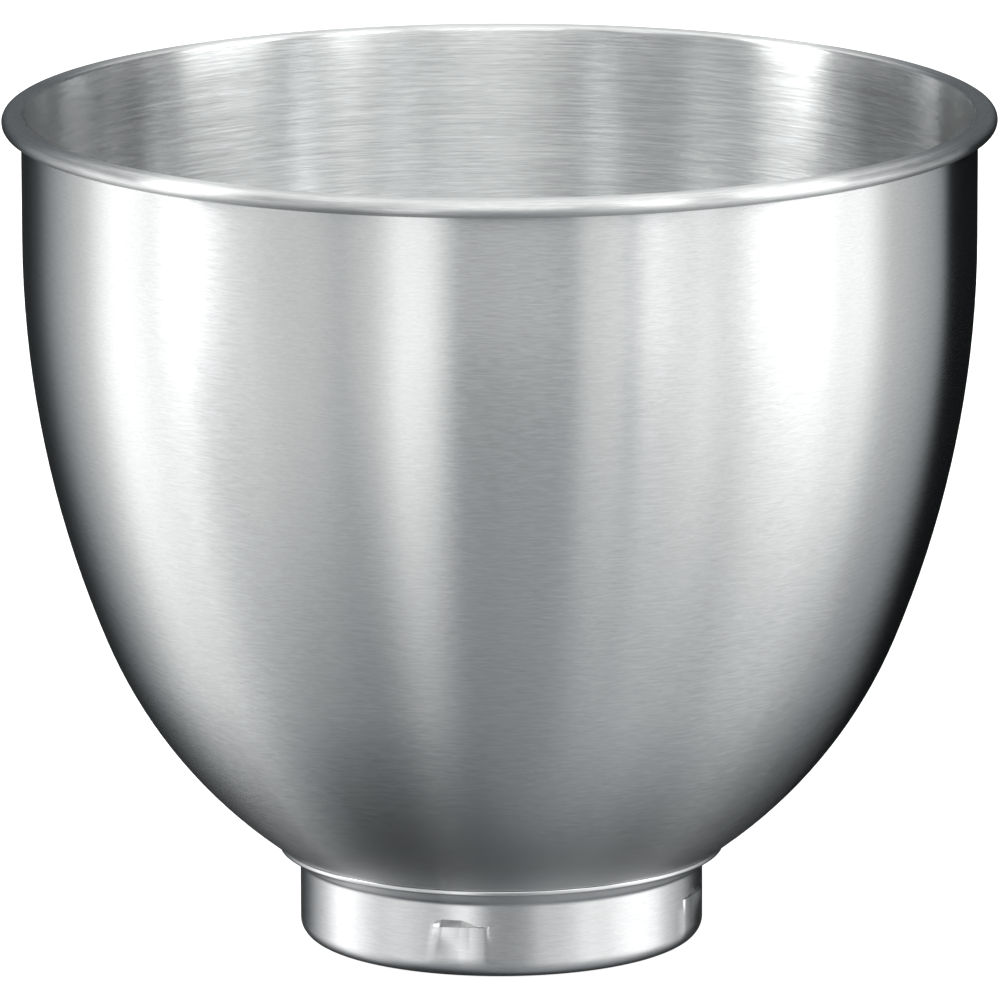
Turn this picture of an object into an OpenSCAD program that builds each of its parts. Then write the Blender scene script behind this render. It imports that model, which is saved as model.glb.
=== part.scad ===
/* [Bowl] */
// Outer diameter over the rolled rim
rim_d = 200; // [185:1:220]
// Height from the counter to the top of the rim
bowl_h = 170; // [160:1:190]
// Thickness of the sheet of bowl and foot
sheet_t = 0.8; // [0.6:0.1:1]
// Height above the counter at which the round bottom would cross the middle
lift = 5.3; // [4:0.1:7]
// Outer radius of the curve low on the side
knee_r = 98; // [90:1:110]
// Outer radius of the gentle curve above it
flank_r = 214; // [190:1:230]
// Degrees that the gentle curve turns through
flank_turn = 22.3; // [20:0.1:25]

/* [Rolled rim] */
// Outer radius of the rolled edge
bead_r = 1.8; // [1.5:0.1:2.4]
// Gap between the rolled edge and the wall
bead_gap = 0.35; // [0.25:0.05:0.8]
// Degrees that the edge is rolled through
bead_turn = 240; // [190:5:260]
// Radius on the outside of the fold at the top of the wall
fold_r = 0.25; // [0.15:0.05:0.5]

/* [Raised centre] */
// Diameter of the flat on top of the raised centre
centre_d = 44; // [34:1:48]
// Height of the raised centre above the middle of the round bottom
centre_h = 8.5; // [7:0.1:10]
// Radius of the bends round the raised centre
centre_bend_r = 5; // [4:0.5:7]

/* [Foot] */
// Outer diameter of the foot's wall
foot_d = 81.7; // [78:0.1:86]
// Width of the flange beyond the wall
flange_w = 4.25; // [3.5:0.05:5]
// Radius in the corner between the wall and the flange
flange_bend_r = 1.2; // [0.8:0.1:2]
// Outer radius of the bottom corner
corner_r = 3.3; // [2.5:0.1:4.5]
// Width of the flat lip that the bowl rests on
lip_w = 4; // [3:0.1:7]
// Clearance of the welded seam between bowl and foot
seam_gap = 0.05; // [0.02:0.01:0.2]

/* [Bayonet lugs] */
// Number of lugs round the foot
lug_count = 4; // [3:1:6]
// Angle of the first lug from the front
lug_angle = -14.8; // [-30:0.1:30]
// How far a lug stands out from the wall
lug_out = 0.8; // [0.6:0.05:1]
// Height of a lug's upper edge above the counter
lug_top = 12.1; // [11:0.1:13]
// Height of the sloped step along its upper edge
lug_step = 1.4; // [1.2:0.1:1.8]
// Width of a lug's face at half height
lug_w = 5.9; // [5:0.1:7]
// Width of its steep end
lug_end_w = 1.5; // [1.2:0.1:2]
// Lean of its steep end from upright, in degrees
lug_lean = 14; // [8:1:20]
// Width of the long ramp at its other end
lug_ramp_w = 4.4; // [3.5:0.1:5.5]
// Width of the bevel between the face and the ramp
lug_bevel_w = 0.8; // [0.5:0.1:1.2]
// Angle round the bottom corner at which a lug runs out
lug_foot_turn = 28; // [25:1:35]

/* [Hidden] */
$fn = 96;

// wall of the bowl and the centres of its curves, [radius, height]
wall_r = rim_d / 2 - 2 * bead_r - bead_gap;
foot_r = foot_d / 2;
flange_r = foot_r + flange_w;
// the round bottom runs on past the flange by half a sheet
dome_end_r = flange_r + sheet_t / 2;
knee_x = wall_r - flank_r + (flank_r - knee_r) * cos(flank_turn);
dome_turn = asin((dome_end_r - knee_x) / knee_r);
dome_r = dome_end_r / sin(dome_turn);
dome_c = [0, lift + dome_r];
knee_c = [knee_x, dome_c[1] + (knee_r - dome_r) * cos(dome_turn)];
flank_c = [wall_r - flank_r, knee_c[1] + (flank_r - knee_r) * sin(flank_turn)];
// rolled rim
bead_c = [rim_d / 2 - bead_r, bowl_h - bead_r];
fold_c = [wall_r + fold_r, bowl_h - sheet_t - fold_r];

// raised centre: an upper bend round crown_c and a lower one round hem_c, which meets the dome
crown_c = [centre_d / 2, lift + centre_h - centre_bend_r];
hem_reach = dome_r - sheet_t - centre_bend_r;
crown_reach = norm(crown_c - dome_c);
bend_reach = 2 * centre_bend_r + sheet_t;
crown_tilt = atan2(crown_c[0], dome_c[1] - crown_c[1]);
hem_tilt = crown_tilt + acos((pow(hem_reach, 2) + pow(crown_reach, 2) - pow(bend_reach, 2))
    / (2 * hem_reach * crown_reach));
hem_c = dome_c + hem_reach * [sin(hem_tilt), -cos(hem_tilt)];
crown_turn = atan2(hem_c[0] - crown_c[0], hem_c[1] - crown_c[1]);

// foot: the bend below the flange and the bottom corner
flange_in_r = dome_r + seam_gap;
flange_c_x = foot_r + flange_bend_r;
flange_reach = flange_in_r + sheet_t + flange_bend_r;
flange_c = [flange_c_x, dome_c[1] - sqrt(pow(flange_reach, 2) - pow(flange_c_x, 2))];
flange_turn = asin(flange_c_x / flange_reach);
corner_c = [foot_r - corner_r, corner_r];

// lugs: slope of the upper step and the depth by which a lug's lower end bites into the corner
step_slope = lug_step / lug_out;
lug_bite = sheet_t / 30;
lug_r = foot_r + lug_out;
lug_mid_z = (lug_top + corner_r) / 2;

// bent stretch of sheet in the section plane, between two directions seen from the bend's centre;
// its ends lie on lines that the neighbouring stretches share
module arc(c, r, from, to) {
    spare = sheet_t / 8;
    steps = 12;
    side = function (r, i) let (a = from + (to - from) * i / steps) c + r * [cos(a), sin(a)];
    intersection() {
        translate(c) difference() {
            circle(r);
            circle(r - sheet_t);
        }
        polygon([
            for (i = [0:steps]) side(r + spare, i),
            for (i = [steps:-1:0]) side(r - sheet_t - spare, i),
        ]);
    }
}

// flat or upright stretch of sheet in the section plane, between two opposite corners
module strip(a, b) {
    polygon([a, [b[0], a[1]], b, [a[0], b[1]]]);
}

module bowl_section() {
    strip([0, crown_c[1] + centre_bend_r], crown_c + [0, centre_bend_r + sheet_t]);
    arc(crown_c, centre_bend_r + sheet_t, 90 - crown_turn, 90);
    arc(hem_c, centre_bend_r + sheet_t, 270 - crown_turn, 270 + hem_tilt);
    arc(dome_c, dome_r, 270 + hem_tilt, 270 + dome_turn);
    arc(knee_c, knee_r, 270 + dome_turn, 360 - flank_turn);
    arc(flank_c, flank_r, -flank_turn, 0);
    strip([wall_r - sheet_t, flank_c[1]], [wall_r, fold_c[1]]);
    arc(fold_c, fold_r + sheet_t, 90, 180);
    strip([fold_c[0], bowl_h - sheet_t], [bead_c[0], bowl_h]);
    arc(bead_c, bead_r, 90 - bead_turn, 90);
}

module bowl() color("silver") rotate_extrude() bowl_section();

module foot_section() {
    // flange, cut off upright at its outer edge
    intersection() {
        arc(dome_c, flange_in_r + sheet_t, 270 + flange_turn, 300 + flange_turn);
        strip([0, 0], [flange_r, bowl_h]);
    }
    arc(flange_c, flange_bend_r + sheet_t, 90 + flange_turn, 180);
    strip([foot_r - sheet_t, corner_c[1]], [foot_r, flange_c[1]]);
    arc(corner_c, corner_r, -90, 0);
    strip([corner_c[0] - lip_w, 0], [corner_c[0], sheet_t]);
}

// section of a lug, set in from its outside by g, and reaching back behind that face
module lug_section(g, back) {
    top_at = lug_top - g * sqrt(1 + pow(step_slope, 2));
    r = corner_r - g - lug_bite;
    side = [cos(lug_foot_turn), -sin(lug_foot_turn)];
    low = corner_c + r * side;
    face = lug_r - g;
    run = (face - low[0]) / sin(lug_foot_turn);
    polygon([
        [foot_r - back, top_at + back * step_slope],
        [face, top_at - (face - foot_r) * step_slope],
        [face, low[1] + run * cos(lug_foot_turn)],
        low,
        corner_c + (corner_r - back) * side,
        [foot_r - back, corner_c[1]],
    ]);
}

// half of space beyond an upright plane through [x, y] that runs in direction turn, moved in by g
module beyond(at, turn, g, lean = 0) {
    translate([at[0], at[1], lug_mid_z]) rotate([lean, 0, 0]) rotate([0, 0, turn])
        translate([-foot_d / 2, g, -foot_d / 2]) cube(foot_d);
}

// lug at the +X side, set in from its outside by g
module lug(g, back) {
    face_at = function (y, r) [sqrt(r * r - y * y), y];
    end = face_at(-lug_w / 2, lug_r);
    bevel = face_at(lug_w / 2, lug_r);
    ramp = face_at(lug_w / 2 + lug_bevel_w, lug_r);
    toe = face_at(lug_w / 2 + lug_bevel_w + lug_ramp_w, foot_r);
    ramp_turn = atan2(toe[1] - ramp[1], toe[0] - ramp[0]);
    bevel_turn = (ramp_turn + 90 + asin(bevel[1] / lug_r)) / 2;
    intersection() {
        rotate([0, 0, -15]) rotate_extrude(angle = 30) lug_section(g, back);
        beyond(end, atan2(lug_end_w, lug_out), g, -lug_lean);
        beyond(bevel, bevel_turn, g);
        beyond(toe, ramp_turn, g);
    }
}

// the lugs face each other in pairs, so every other one is mirrored
module each_lug() {
    for (i = [0:lug_count - 1])
        rotate([0, 0, lug_angle - 90 + i * 360 / lug_count]) mirror([0, i % 2, 0]) children();
}

module foot() color("gainsboro") difference() {
    union() {
        rotate_extrude() foot_section();
        each_lug() lug(0, sheet_t / 2);
    }
    each_lug() lug(sheet_t, (corner_r + sheet_t) / 2);
}

bowl();
foot();
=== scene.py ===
import math
from collections import namedtuple

import bpy
from mathutils import Matrix, Vector


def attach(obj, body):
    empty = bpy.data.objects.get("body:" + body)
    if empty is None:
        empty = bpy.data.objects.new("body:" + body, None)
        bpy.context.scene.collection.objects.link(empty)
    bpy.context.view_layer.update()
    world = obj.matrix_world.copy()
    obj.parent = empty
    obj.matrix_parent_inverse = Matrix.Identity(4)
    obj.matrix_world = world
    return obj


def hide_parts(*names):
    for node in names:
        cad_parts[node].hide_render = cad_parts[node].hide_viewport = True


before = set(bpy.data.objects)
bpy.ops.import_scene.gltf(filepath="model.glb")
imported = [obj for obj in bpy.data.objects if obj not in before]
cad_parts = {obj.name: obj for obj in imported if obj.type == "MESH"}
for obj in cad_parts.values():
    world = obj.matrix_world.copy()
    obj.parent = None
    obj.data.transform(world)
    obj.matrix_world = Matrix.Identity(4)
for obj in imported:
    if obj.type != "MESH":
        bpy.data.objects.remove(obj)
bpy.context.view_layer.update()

scene = bpy.context.scene
scene.view_settings.view_transform = "Standard"

# ---- camera, in metres, fitted to the photograph ----
CAMERA_AT = (-0.0001, -2.4, 0.6098)
PITCH = math.radians(12.231)
ROLL = math.radians(0.153)
LENS_MM, SENSOR_MM = 437.4, 36.0
CLIP_NEAR, CLIP_FAR = 0.1, 50.0


def make_camera():
    data = bpy.data.cameras.new("camera")
    data.sensor_width = SENSOR_MM
    data.lens = LENS_MM
    data.clip_start, data.clip_end = CLIP_NEAR, CLIP_FAR
    cam = bpy.data.objects.new("camera", data)
    turn = Matrix.Rotation(math.pi / 2 - PITCH, 4, "X") @ Matrix.Rotation(-ROLL, 4, "Z")
    cam.matrix_world = Matrix.Translation(Vector(CAMERA_AT)) @ turn
    scene.collection.objects.link(cam)
    scene.camera = cam


# ---- node helpers ----
class Tree:
    """A node tree that is filled by short calls."""

    def __init__(self, tree):
        self.tree = tree
        tree.nodes.clear()

    def add(self, kind, inputs=None, **settings):
        node = self.tree.nodes.new(kind)
        for key, value in settings.items():
            setattr(node, key, value)
        for key, value in (inputs or {}).items():
            if isinstance(value, bpy.types.NodeSocket):
                self.tree.links.new(value, node.inputs[key])
            else:
                node.inputs[key].default_value = value
        return node

    def math(self, operation, a, b=0.0, clamp=False):
        node = self.add("ShaderNodeMath", {0: a, 1: b}, operation=operation, use_clamp=clamp)
        return node.outputs[0]

    def mix(self, share, a, b):
        """From value a at a share of 0 to value b at a share of 1."""
        return self.math("ADD", self.math("MULTIPLY", a, self.math("SUBTRACT", 1.0, share)),
                         self.math("MULTIPLY", share, b))

    def mix_color(self, share, a, b):
        """From colour a at a share of 0 to colour b at a share of 1."""
        return self.add("ShaderNodeMix", {0: share, 6: a, 7: b}, data_type="RGBA").outputs[2]

    def between(self, value, limits):
        """0 at the first limit, 1 at the second, and even between them."""
        return self.add("ShaderNodeMapRange", {
            "Value": value, "From Min": limits[0], "From Max": limits[1]}).outputs[0]

    def vary(self, noise, amount):
        """Noise that lies round 0.5, moved to lie round 0 and made as strong as amount."""
        return self.math("MULTIPLY", self.math("SUBTRACT", noise, 0.5), amount)

    def ramp(self, value, stops):
        node = self.add("ShaderNodeValToRGB", {"Fac": value})
        elements = node.color_ramp.elements
        while len(elements) < len(stops):
            elements.new(0.5)
        for element, (at, grey) in zip(elements, stops):
            element.position = at
            element.color = (grey, grey, grey, 1.0)
        return node.outputs["Color"]


# ---- studio ----
# The studio's light by direction: degrees round from the camera, positive to the right, and a level.
# HIGH is what lies above the bowl's rim and LOW what lies below it, MIDDLE lies lower down, and NADIR lies
# far below the bowl.
HIGH = [
    (-155, 0.08), (-143, 0.18), (-133, 0.5), (-124, 0.35), (-112, 0.05), (-100, 0.05), (-91, 0.5),
    (-86, 4.8), (-82, 9), (-75, 4.8), (-66, 0.6), (-59, 0.0), (-50, 0.15), (-35, 0.8), (-27, 0.1),
    (-19, 0.65), (-12, 1.5), (-5, 1.85), (3, 1.9), (10, 1.8), (17, 1.35), (24, 0.85), (32, 2.2),
    (39, 3.9), (47, 0.65), (55, 0.25), (63, 3), (72, 3.9), (83, 3.8), (88, 0.2), (97, 0.05)]
LOW = [
    (-156, 0.02), (-146, 0.08), (-138, 0.34), (-128, 0.62), (-118, 0.92), (-111, 1.6), (-105, 2.0),
    (-96, 1.7), (-86, 1.0), (-76, 0.36), (-63, 1.15), (-46, 0.95), (-38, 0.6), (-31, 0.95), (-24, 1.85),
    (-17, 1.6), (-10, 0.12), (-3, 0.02), (12, 0.13), (17.5, 0.17), (20.5, 0.8), (28, 0.85), (31.5, 0.2),
    (35, 0.75), (40, 0.55), (50, 1.6), (60, 1.0), (82, 1.7), (98, 1.9), (108, 0.9), (133, 0.42),
    (136.5, 0.0)]
MIDDLE = [
    (-160, 0.01), (-144, 0.07), (-132, 0.32), (-120, 0.62), (-108, 1.1), (-96, 0.95), (-84, 0.82),
    (-72, 0.64), (-60, 0.58), (-48, 0.48), (-36, 0.41), (-30, 0.6), (-24, 0.85), (-17, 0.58),
    (-10, 0.37), (-2, 0.34), (6, 0.36), (12, 0.36), (24, 0.54), (36, 0.57), (48, 0.64), (60, 0.57),
    (72, 0.66), (84, 0.63), (96, 0.57), (108, 0.32), (120, 0.26), (132, 0.17), (144, 0.01)]
NADIR = [
    (-155, 0.03), (-120, 0.03), (-84, 0.05), (-70, 0.08), (-48, 0.13), (-36, 0.17), (-24, 0.17),
    (0, 0.22), (12, 0.22), (24, 0.26), (36, 0.32), (48, 0.34), (60, 0.31), (72, 0.26), (84, 0.23),
    (108, 0.19), (132, 0.07), (150, 0.02)]
# the ramps hold levels as shares of this one
BRIGHTEST = 10.0
# where one list passes into the next, by the upward part of the direction
LOW_TO_HIGH, LOW_TO_MIDDLE, MIDDLE_TO_NADIR = (-0.05, 0.15), (-0.12, -0.58), (-0.52, -0.9)
# a plain dark card behind the bowl, above the counter, and a plain pale one overhead
BACKDROP, BACKDROP_RISE, BACKDROP_DEPTH = 0.15, (0.0, 0.15), (0.3, 0.75)
OVERHEAD, OVERHEAD_RISE = 1.15, (0.4, 0.75)
# dark cards are a little cool, and cards from this level up are neutral
COOL, NEUTRAL, NEUTRAL_FROM = (0.84, 0.93, 1.0, 1), (1, 1, 1, 1), 0.7
WHITE = (1, 1, 1, 1)


def make_world():
    """A studio of cards for the metal to mirror, and plain white for the camera."""
    world = bpy.data.worlds.new("studio")
    world.use_nodes = True
    scene.world = world
    t = Tree(world.node_tree)
    direction = t.add("ShaderNodeTexCoord").outputs["Generated"]
    x, y, z = t.add("ShaderNodeSeparateXYZ", {"Vector": direction}).outputs
    angle = t.math("ARCTAN2", x, t.math("MULTIPLY", y, -1.0))
    # 0 to 1 once round, with the camera's side in the middle
    share = t.add("ShaderNodeMath", {0: angle, 1: 1 / (2 * math.pi), 2: 0.5},
                  operation="MULTIPLY_ADD").outputs[0]
    high, low, middle, nadir = (
        t.ramp(share, [((degrees + 180) / 360, level / BRIGHTEST) for degrees, level in levels])
        for levels in (HIGH, LOW, MIDDLE, NADIR))
    around = t.mix_color(t.between(z, LOW_TO_MIDDLE), low, middle)
    around = t.mix_color(t.between(z, MIDDLE_TO_NADIR), around, nadir)
    around = t.mix_color(t.between(z, LOW_TO_HIGH), around, high)
    light = t.math("MULTIPLY", around, BRIGHTEST)
    behind = t.math("MULTIPLY", t.between(z, BACKDROP_RISE), t.between(y, BACKDROP_DEPTH))
    light = t.mix(behind, light, BACKDROP)
    light = t.mix(t.between(z, OVERHEAD_RISE), light, OVERHEAD)
    tint = t.mix_color(t.math("DIVIDE", light, NEUTRAL_FROM, clamp=True), COOL, NEUTRAL)
    studio = t.add("ShaderNodeBackground", {"Color": tint, "Strength": light})
    white = t.add("ShaderNodeBackground", {"Color": WHITE, "Strength": 1.0})
    rays = t.add("ShaderNodeLightPath")
    mix = t.add("ShaderNodeMixShader", {
        0: rays.outputs["Is Camera Ray"], 1: studio.outputs[0], 2: white.outputs[0]})
    t.add("ShaderNodeOutputWorld", {"Surface": mix.outputs[0]})


# ---- floor, in metres ----
FLOOR_HALF = 30.0
# just below the foot, so that the foot's lip shows from below
FLOOR_Z = -0.0001
PAPER, PAPER_GLOW = (0.8, 0.8, 0.8, 1), 0.75


def make_floor():
    """A white floor that keeps the object's shadow. The metal does not mirror it, because the metal in the
    photograph shows dark surroundings below. It is clear from below, so that the underside can be seen."""
    mesh = bpy.data.meshes.new("floor")
    corners = [(x * FLOOR_HALF, y * FLOOR_HALF, FLOOR_Z) for x, y in ((-1, -1), (1, -1), (1, 1), (-1, 1))]
    mesh.from_pydata(corners, [], [(0, 1, 2, 3)])
    floor = bpy.data.objects.new("floor", mesh)
    scene.collection.objects.link(floor)
    material = bpy.data.materials.new("pale_floor")
    material.use_nodes = True
    t = Tree(material.node_tree)
    paper = t.add("ShaderNodeBsdfDiffuse", {"Color": PAPER})
    glow = t.add("ShaderNodeEmission", {"Color": WHITE, "Strength": PAPER_GLOW})
    both = t.add("ShaderNodeAddShader", {0: paper.outputs[0], 1: glow.outputs[0]})
    rays = t.add("ShaderNodeLightPath")
    top = t.add("ShaderNodeMixShader", {
        0: rays.outputs["Is Camera Ray"], 1: paper.outputs[0], 2: both.outputs[0]})
    below = t.add("ShaderNodeNewGeometry").outputs["Backfacing"]
    clear = t.add("ShaderNodeBsdfTransparent")
    one_sided = t.add("ShaderNodeMixShader", {0: below, 1: top.outputs[0], 2: clear.outputs[0]})
    t.add("ShaderNodeOutputMaterial", {"Surface": one_sided.outputs[0]})
    mesh.materials.append(material)
    floor.visible_glossy = False


# ---- brushed steel ----
# How the lines lie on one side of the sheet: how often the fine and the coarse ones change on the way round,
# how far they vary the tone, and how high they stand, in metres
Lines = namedtuple("Lines", "fine coarse contrast height")
# changes for each metre across the fine and the coarse lines
FINE_ACROSS, COARSE_ACROSS = 4600.0, 3300.0
LINE_DETAIL, LINE_GRAIN = 1.0, 0.6
# radius below which the lines have no way round, in metres
AXIS_R = 0.0005
CLOUD_SCALE, CLOUD_DETAIL = 18.0, 3.0
# how far the coarse lines and the clouds vary the roughness
LINE_ROUGH, CLOUD_ROUGH = 0.05, 0.06
# the rolled rim is rougher: height and radius over which this sets in, in metres
BEAD_ROUGH, BEAD_HIGH, BEAD_FAR = 0.09, (0.1664, 0.1668), (0.0955, 0.0962)
# how much darker the painted shade makes the steps above the lugs' faces
PAINTED_SHADE_DEPTH = 0.5
# share of a full turn that lays the metal's grain along the lines
GRAIN_TURN = 0.25


def brushed_steel(name, color, roughness, anisotropic, outside, inside):
    """Stainless steel brushed round the Z axis, with Lines for each side of the sheet."""
    material = bpy.data.materials.new(name)
    material.use_nodes = True
    t = Tree(material.node_tree)
    place = t.add("ShaderNodeTexCoord").outputs["Object"]
    x, y, z = t.add("ShaderNodeSeparateXYZ", {"Vector": place}).outputs
    radius = t.math("SQRT", t.math("ADD", t.math("MULTIPLY", x, x), t.math("MULTIPLY", y, y)))
    safe = t.math("MAXIMUM", radius, AXIS_R)
    way_x, way_y = t.math("DIVIDE", x, safe), t.math("DIVIDE", y, safe)
    inner = t.add("ShaderNodeAttribute", attribute_name="inner").outputs["Fac"]
    fine_turns, coarse_turns, contrast, height = (
        t.math("ADD", out, t.math("MULTIPLY", inner, into - out)) for out, into in zip(outside, inside))

    def draw_lines(turns, across):
        """Noise drawn out round the axis, with no seam."""
        point = t.add("ShaderNodeCombineXYZ", {
            0: t.math("MULTIPLY", way_x, turns), 1: t.math("MULTIPLY", way_y, turns),
            2: t.math("MULTIPLY", z, across)})
        noise = t.add("ShaderNodeTexNoise", {
            "Vector": point.outputs[0], "W": t.math("MULTIPLY", radius, across),
            "Scale": 1.0, "Detail": LINE_DETAIL, "Roughness": LINE_GRAIN}, noise_dimensions="4D")
        return noise.outputs["Fac"]

    fine = draw_lines(fine_turns, FINE_ACROSS)
    coarse = draw_lines(coarse_turns, COARSE_ACROSS)
    cloud = t.add("ShaderNodeTexNoise", {
        "Vector": place, "Scale": CLOUD_SCALE, "Detail": CLOUD_DETAIL}).outputs["Fac"]
    tone = t.math("ADD", t.math("MULTIPLY", fine, 0.5), t.math("MULTIPLY", coarse, 0.5))
    # painted shade: the steps above the lugs' faces are darkened in the base colour, standing in for the
    # dark they mirror
    painted_shade = t.add("ShaderNodeAttribute", attribute_name="painted_shade").outputs["Fac"]
    shade = t.math("MULTIPLY", t.math("ADD", t.vary(tone, contrast), 1.0),
                   t.math("SUBTRACT", 1.0, t.math("MULTIPLY", painted_shade, PAINTED_SHADE_DEPTH)))
    base = t.add("ShaderNodeVectorMath", {0: color, "Scale": shade}, operation="SCALE")
    bead = t.math("MULTIPLY", t.between(z, BEAD_HIGH), t.between(radius, BEAD_FAR))
    rough = t.math("ADD", t.vary(coarse, LINE_ROUGH), t.math("ADD", t.vary(cloud, CLOUD_ROUGH), roughness))
    rough = t.math("ADD", rough, t.math("MULTIPLY", bead, BEAD_ROUGH))
    bump = t.add("ShaderNodeBump", {"Strength": 1.0, "Distance": height, "Height": tone})
    turn = t.add("ShaderNodeTangent", direction_type="RADIAL", axis="Z")
    steel = t.add("ShaderNodeBsdfPrincipled", {
        "Base Color": base.outputs[0], "Metallic": 1.0, "Roughness": rough,
        "Anisotropic": anisotropic, "Anisotropic Rotation": GRAIN_TURN,
        "Tangent": turn.outputs[0], "Normal": bump.outputs[0]})
    t.add("ShaderNodeOutputMaterial", {"Surface": steel.outputs[0]})
    return material


# ---- shapes, in millimetres and degrees, as in the part's source ----
SHEET = 0.8
# rim and wall; the rim is a hair smaller than in the source, to stay inside the CAD's box
RIM_R, RIM_Z, WALL_R = 99.98, 170.0, 96.05
BEAD_R, BEAD_TURN, FOLD_R = 1.8, 240.0, 0.25
# curve low on the side, and the gentle one above it
KNEE_R, FLANK_R, FLANK_TURN = 98.0, 214.0, 22.3
# raised centre
LIFT, CENTRE_R, CENTRE_H, CENTRE_BEND = 5.3, 22.0, 8.5, 5.0
# foot, and the length over which its cut edge is rounded
FOOT_R, FLANGE_R, FLANGE_BEND, CORNER_R, LIP, SEAM = 40.85, 45.1, 1.2, 3.3, 4.0, 0.05
EDGE_ROUND = 0.3
# height between the mesh's rows on the foot's wall: close ones at the steps above the lugs' faces
ROW, CLOSE_ROW = 0.3, 0.1
CLOSE_FROM, CLOSE_TO = 10.3, 12.3
# steps of the mesh along the sheet: in bends, in the two curves of the side, on the upright wall, in the
# fold and the roll of the rim, in the foot's bottom corner, on its flange and round its cut edge
BEND_STEPS, CURVE_STEPS, WALL_STEPS, FOLD_STEPS, ROLL_STEPS = 8, 18, 4, 6, 26
CORNER_STEPS, FLANGE_STEPS, EDGE_STEPS = 16, 8, 5
# radii of the mesh's rows on the raised centre, and how far the lip's inner row lies from the corner
FLAT_ROWS, LIP_ROW = (0.0, 4.0, 12.0), 1.0
# degrees between the mesh's steps round the bowl, round the foot between the lugs and across a lug, and how
# far the last ones reach from a lug's middle
BOWL_STEP, FOOT_STEP, LUG_STEP, LUG_REACH = 1.25, 1.5, 0.2, 12
SHARP_ANGLE = 50
MM = 1000


def sind(a):
    return math.sin(math.radians(a))


def cosd(a):
    return math.cos(math.radians(a))


def knee_centre_r():
    """Radius at which the centre of the low curve lies."""
    return WALL_R - FLANK_R + (FLANK_R - KNEE_R) * cosd(FLANK_TURN)


# the round bottom is a sphere that meets the low curve just outside the flange
DOME_END_R = FLANGE_R + SHEET / 2
DOME_TURN = math.degrees(math.asin((DOME_END_R - knee_centre_r()) / KNEE_R))
DOME_R = DOME_END_R / sind(DOME_TURN)
DOME_Z = LIFT + DOME_R
KNEE_C = (knee_centre_r(), DOME_Z + (KNEE_R - DOME_R) * cosd(DOME_TURN))
FLANK_C = (WALL_R - FLANK_R, KNEE_C[1] + (FLANK_R - KNEE_R) * sind(FLANK_TURN))


def curve(start, corner, end, t):
    """Point of a rounded corner."""
    return tuple((1 - t) ** 2 * start[i] + 2 * t * (1 - t) * corner[i] + t * t * end[i] for i in (0, 1))


def bend(centre, r_out, r_in, start, end, steps):
    """Pairs of section points on the outer and inner face of a bend, from one direction to another."""
    pairs = []
    for i in range(steps + 1):
        a = start + (end - start) * i / steps
        way = (cosd(a), sind(a))
        pairs.append(tuple((centre[0] + r * way[0], centre[1] + r * way[1]) for r in (r_out, r_in)))
    return pairs


def bowl_section():
    """Pairs of points on the sheet's underside and upper side, from the middle to the rolled edge."""
    crown = (CENTRE_R, LIFT + CENTRE_H - CENTRE_BEND)
    reach = DOME_R - SHEET - CENTRE_BEND
    far = math.hypot(crown[0], crown[1] - DOME_Z)
    span = 2 * CENTRE_BEND + SHEET
    tilt = math.degrees(math.atan2(crown[0], DOME_Z - crown[1]) + math.acos(
        (reach ** 2 + far ** 2 - span ** 2) / (2 * reach * far)))
    hem = (reach * sind(tilt), DOME_Z - reach * cosd(tilt))
    turn = math.degrees(math.atan2(hem[0] - crown[0], hem[1] - crown[1]))
    wide = CENTRE_BEND + SHEET
    flat = crown[1] + CENTRE_BEND
    pairs = [((r, flat), (r, flat + SHEET)) for r in FLAT_ROWS]
    pairs += bend(crown, CENTRE_BEND, wide, 90, 90 - turn, BEND_STEPS)
    pairs += bend(hem, wide, CENTRE_BEND, 270 - turn, 270 + tilt, BEND_STEPS)[1:]
    pairs += bend((0, DOME_Z), DOME_R, DOME_R - SHEET, 270 + tilt, 270 + DOME_TURN, BEND_STEPS)[1:]
    pairs += bend(KNEE_C, KNEE_R, KNEE_R - SHEET, 270 + DOME_TURN, 360 - FLANK_TURN, CURVE_STEPS)[1:]
    pairs += bend(FLANK_C, FLANK_R, FLANK_R - SHEET, -FLANK_TURN, 0, CURVE_STEPS)[1:]
    fold = (WALL_R + FOLD_R, RIM_Z - SHEET - FOLD_R)
    wall_z = FLANK_C[1]
    pairs += [((WALL_R, z), (WALL_R - SHEET, z)) for z in (
        wall_z + (fold[1] - wall_z) * k / WALL_STEPS for k in range(1, WALL_STEPS))]
    pairs += bend(fold, FOLD_R, FOLD_R + SHEET, 180, 90, FOLD_STEPS)
    bead = (RIM_R - BEAD_R, RIM_Z - BEAD_R)
    pairs += bend(bead, BEAD_R - SHEET, BEAD_R, 90, 90 - BEAD_TURN, ROLL_STEPS)
    return pairs


def wall_rows(neck_z):
    """Heights of the mesh's rows on the foot's wall, from the bottom corner to the bend below the flange."""
    below = [CORNER_R + ROW * k for k in range(1, round((CLOSE_FROM - CORNER_R) / ROW) + 1)]
    close = [CLOSE_FROM + CLOSE_ROW * k for k in range(round((CLOSE_TO - CLOSE_FROM) / CLOSE_ROW) + 1)]
    above = [CLOSE_TO + ROW + ROW * k for k in range(int((neck_z - CLOSE_TO) / ROW))]
    return below + close + [z for z in above if z < neck_z - CLOSE_ROW]


def round_edge(pairs):
    """Replaces the corners at a section's end by rounded ones."""
    tips = pairs.pop()
    from_low, from_top = (
        tuple(tip[i] + (back[i] - tip[i]) * EDGE_ROUND / math.dist(tip, back) for i in (0, 1))
        for tip, back in zip(tips, pairs[-1]))
    low, top = tips
    to_low, to_top = (low[0], low[1] + EDGE_ROUND), (top[0], top[1] - EDGE_ROUND)
    for t in (k / EDGE_STEPS for k in range(EDGE_STEPS + 1)):
        pairs.append((curve(from_low, low, to_low, t), curve(from_top, top, to_top, t)))


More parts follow.
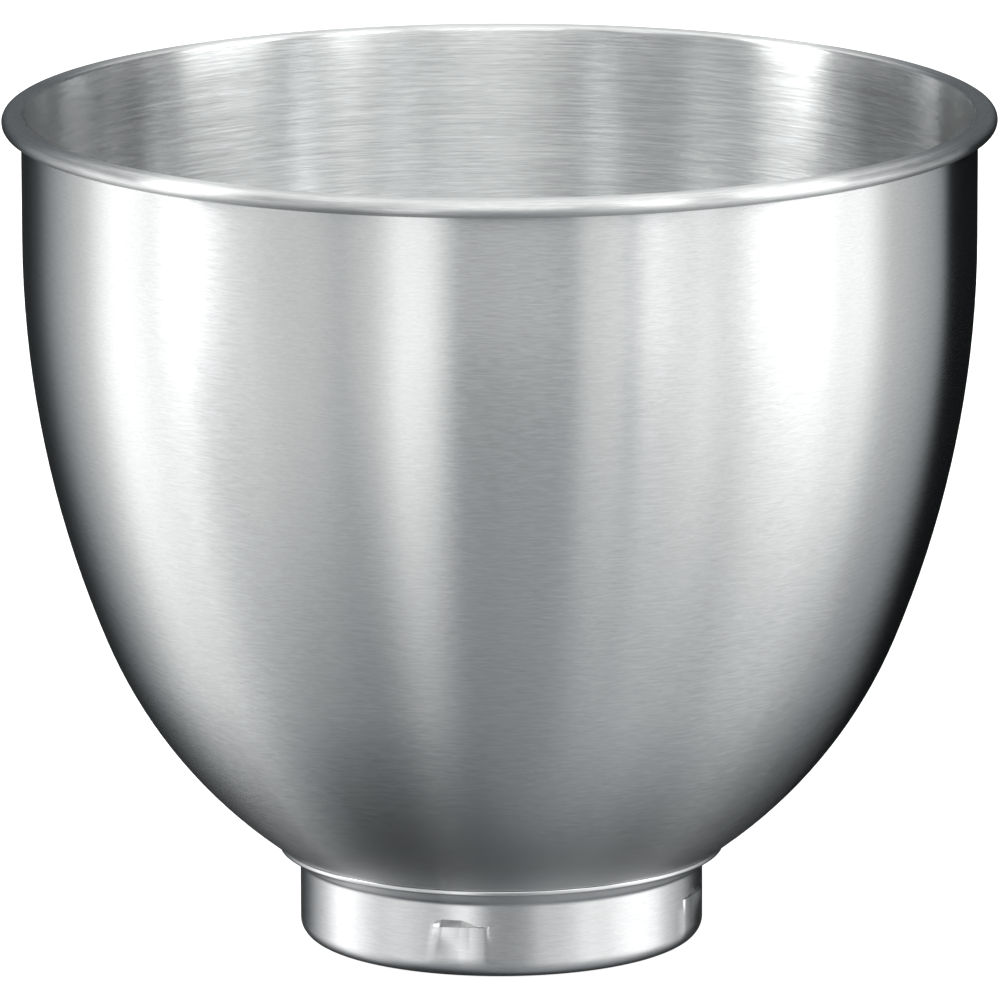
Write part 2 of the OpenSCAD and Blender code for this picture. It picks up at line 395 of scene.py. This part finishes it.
def foot_section():
    """Pairs of points on the outer and the inner face of the foot, from its lip to its flange's edge."""
    corner = (FOOT_R - CORNER_R, CORNER_R)
    flange_in = DOME_R + SEAM
    reach = flange_in + SHEET + FLANGE_BEND
    neck_x = FOOT_R + FLANGE_BEND
    neck = (neck_x, DOME_Z - math.sqrt(reach ** 2 - neck_x ** 2))
    turn = math.degrees(math.asin(neck_x / reach))
    pairs = [((corner[0] - r, 0.0), (corner[0] - r, SHEET)) for r in (LIP, LIP_ROW)]
    pairs += bend(corner, CORNER_R, CORNER_R - SHEET, -90, 0, CORNER_STEPS)
    pairs += [((FOOT_R, z), (FOOT_R - SHEET, z)) for z in wall_rows(neck[1])]
    pairs += bend(neck, FLANGE_BEND, FLANGE_BEND + SHEET, 180, 90 + turn, BEND_STEPS)
    outer = flange_in + SHEET
    last = math.degrees(math.asin(FLANGE_R / outer))
    for k in range(1, FLANGE_STEPS + 1):
        a = turn + (last - turn) * k / FLANGE_STEPS
        r_out = outer * sind(a)
        # the flange's edge is cut upright
        inner_a = math.degrees(math.asin(r_out / flange_in)) if k == FLANGE_STEPS else a
        pairs.append(((r_out, DOME_Z - outer * cosd(a)),
                      (flange_in * sind(inner_a), DOME_Z - flange_in * cosd(inner_a))))
    round_edge(pairs)
    return pairs


def spin(name, pairs, angles, material, closed_at_axis, push=None):
    """Turns a sheet's section round the Z axis into a closed mesh. push(r, z, angle) gives how far a point
    is moved outwards, and how much shade is painted on it."""
    ring = [p[0] for p in pairs] + [p[1] for p in reversed(pairs)]
    if closed_at_axis:
        ring = ring[1:-1]
    n, m = len(ring), len(angles)
    points, painted_shades = [], []
    for a in angles:
        c, s = math.cos(a), math.sin(a)
        for r, z in ring:
            out, painted_shade = push(r, z, a) if push else (0.0, 0.0)
            out += r
            points.append((out * c / MM, out * s / MM, z / MM))
            painted_shades.append(painted_shade)
    faces = []
    last = n if not closed_at_axis else n - 1
    for j in range(m):
        k = (j + 1) % m
        for i in range(last):
            faces.append((j * n + i, k * n + i, k * n + (i + 1) % n, j * n + (i + 1) % n))
    if closed_at_axis:
        for end, flip in ((0, False), (n - 1, True)):
            centre = len(points)
            points.append((0.0, 0.0, ring[end][1] / MM))
            for j in range(m):
                k = (j + 1) % m
                tri = (centre, k * n + end, j * n + end)
                faces.append(tri[::-1] if flip else tri)
    mesh = bpy.data.meshes.new(name)
    mesh.from_pydata(points, [], faces)
    # the section's second half is the side of the sheet that faces inwards
    inner = [float(i % n >= n // 2) if i < n * m else 0.0 for i in range(len(points))]
    painted_shades += [0.0] * (len(points) - len(painted_shades))
    # the second attribute carries the painted shade on the steps above the lugs' faces
    for attribute, values in (("inner", inner), ("painted_shade", painted_shades)):
        mesh.attributes.new(attribute, "FLOAT", "POINT").data.foreach_set("value", values)
    mesh.shade_smooth()
    mesh.set_sharp_from_angle(angle=math.radians(SHARP_ANGLE))
    mesh.materials.append(material)
    piece = bpy.data.objects.new(name, mesh)
    scene.collection.objects.link(piece)
    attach(piece, "root")
    return piece


# ---- lugs, in millimetres ----
# four round the foot, the first one a little left of the front
LUG_FIRST, LUG_COUNT = -14.8 - 90, 4
LUG_AT = [math.radians(LUG_FIRST + 360 / LUG_COUNT * i) for i in range(LUG_COUNT)]
LUG_TOP, FACE_TOP = 12.1, 10.7
# places along the way round the foot, with how far a lug stands out there: the wedge that fades downwards,
# and the strip that it stands on, which goes on beyond the wedge's thin end
LUG_WEDGE = [(-4.6, 0.0), (-4.0, 0.06), (-2.5, 0.46), (-1.9, 0.53), (2.0, 0.08), (4.1, 0.0)]
LUG_STRIP = [
    (-4.6, 0.0), (-4.0, 0.02), (-2.5, 0.14), (-1.9, 0.16), (2.0, 0.29), (4.1, 0.27), (7.0, 0.26),
    (7.6, 0.24), (9.6, 0.0)]
# heights at which the wedge and the strip set in, and over which they rise to all that they are
WEDGE_FROM, WEDGE_RISE, STRIP_FROM, STRIP_RISE = 4.5, 5.0, 2.2, 2.2
# the strip's end draws back towards the face's top: where it starts, and over what way and height
END_AT, END_WAY, END_FROM, END_RISE = 7.4, 0.9, 7.2, 3.4
# the steep end leans: way for each millimetre up, from the height at which it stands at its place, and the
# places between which the lean dies away
LUG_LEAN, LUG_MID, LEAN_TO, LEAN_WAY = 0.2, 8.0, 2.85, 4.5
# the step's upper edge sinks towards both ends: from where, over what way, and by how much
POINT_FROM, POINT_WAY, POINT_DROP = 2.4, 3.8, 1.3
STEEP_FROM, STEEP_WAY, STEEP_DROP = -1.9, 2.0, 0.5
# places between which shade is painted on the step: where this sets in and fades out, with the way over
# which it does
PAINTED_SHADE_FROM, PAINTED_SHADE_IN, PAINTED_SHADE_TO, PAINTED_SHADE_OUT = -3.2, 1.2, 9.0, 3.0
# keeps the row at the step's upper edge among the ones with painted shade
HAIR = 0.001


def clamp(t):
    return min(max(t, 0.0), 1.0)


def smooth(t):
    t = clamp(t)
    return t * t * (3 - 2 * t)


def along(points, s):
    """Height of a line through points at s, and nothing beyond its ends."""
    for (s0, out0), (s1, out1) in zip(points, points[1:]):
        if s0 <= s <= s1:
            return out0 + (out1 - out0) * (s - s0) / (s1 - s0)
    return 0.0


def lug_push(r, z, angle):
    """How far a point of the foot's sheet stands out, and the painted shade it gets on the step above a
    lug's face.
    """
    if z > LUG_TOP or r < FOOT_R - CORNER_R:
        return 0.0, 0.0
    turns = [(angle - a + math.pi) % (2 * math.pi) - math.pi for a in LUG_AT]
    which = min(range(LUG_COUNT), key=lambda i: abs(turns[i]))
    # way from the lug's middle; every other lug is mirrored
    s = turns[which] * (-1) ** which * FOOT_R
    s -= (z - LUG_MID) * LUG_LEAN * clamp((LEAN_TO - s) / LEAN_WAY)
    wedge = along(LUG_WEDGE, s) * smooth((z - WEDGE_FROM) / WEDGE_RISE)
    strip = along(LUG_STRIP, s) * smooth((z - STRIP_FROM) / STRIP_RISE)
    strip *= 1 - smooth((s - END_AT) / END_WAY) * smooth((z - END_FROM) / END_RISE)
    top = LUG_TOP - POINT_DROP * clamp((s - POINT_FROM) / POINT_WAY)
    top -= STEEP_DROP * clamp((STEEP_FROM - s) / STEEP_WAY)
    step = clamp((top - z) / (top - FACE_TOP))
    # painted shade on the step above the lug's face, from where it sets in to where it fades out
    painted_shade = smooth((s - PAINTED_SHADE_FROM) / PAINTED_SHADE_IN) * smooth((PAINTED_SHADE_TO - s) / PAINTED_SHADE_OUT)
    return (wedge + strip) * step, painted_shade * float(FACE_TOP < z < top + HAIR)


def foot_angles():
    """Close steps across each lug and wider ones between lugs."""
    across = round(2 * LUG_REACH / LUG_STEP)
    between = round((360 / LUG_COUNT - 2 * LUG_REACH) / FOOT_STEP)
    angles = []
    for a in LUG_AT:
        angles += [a + math.radians(-LUG_REACH + LUG_STEP * i) for i in range(across + 1)]
        angles += [a + math.radians(LUG_REACH + FOOT_STEP * i) for i in range(1, between)]
    return angles


def bowl_angles():
    return [math.radians(BOWL_STEP * i) for i in range(round(360 / BOWL_STEP))]


# ---- the scene ----
make_camera()
make_world()
make_floor()
bowl_steel = brushed_steel("bowl_steel", (0.775, 0.785, 0.785), roughness=0.25, anisotropic=1.0,
                           outside=Lines(110, 30, 0.4, 0.000001), inside=Lines(26, 6, 0.95, 0.000002))
foot_steel = brushed_steel("foot_steel", (0.745, 0.75, 0.755), roughness=0.3, anisotropic=0.5,
                           outside=Lines(30, 10, 0.45, 0.0000004), inside=Lines(12, 4, 0.4, 0.000002))
shell = spin("bowl_shell", bowl_section(), bowl_angles(), bowl_steel, closed_at_axis=True)
ring = spin("foot_ring", foot_section(), foot_angles(), foot_steel, closed_at_axis=False,
            push=lug_push)
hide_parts("bowl")
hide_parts("foot")
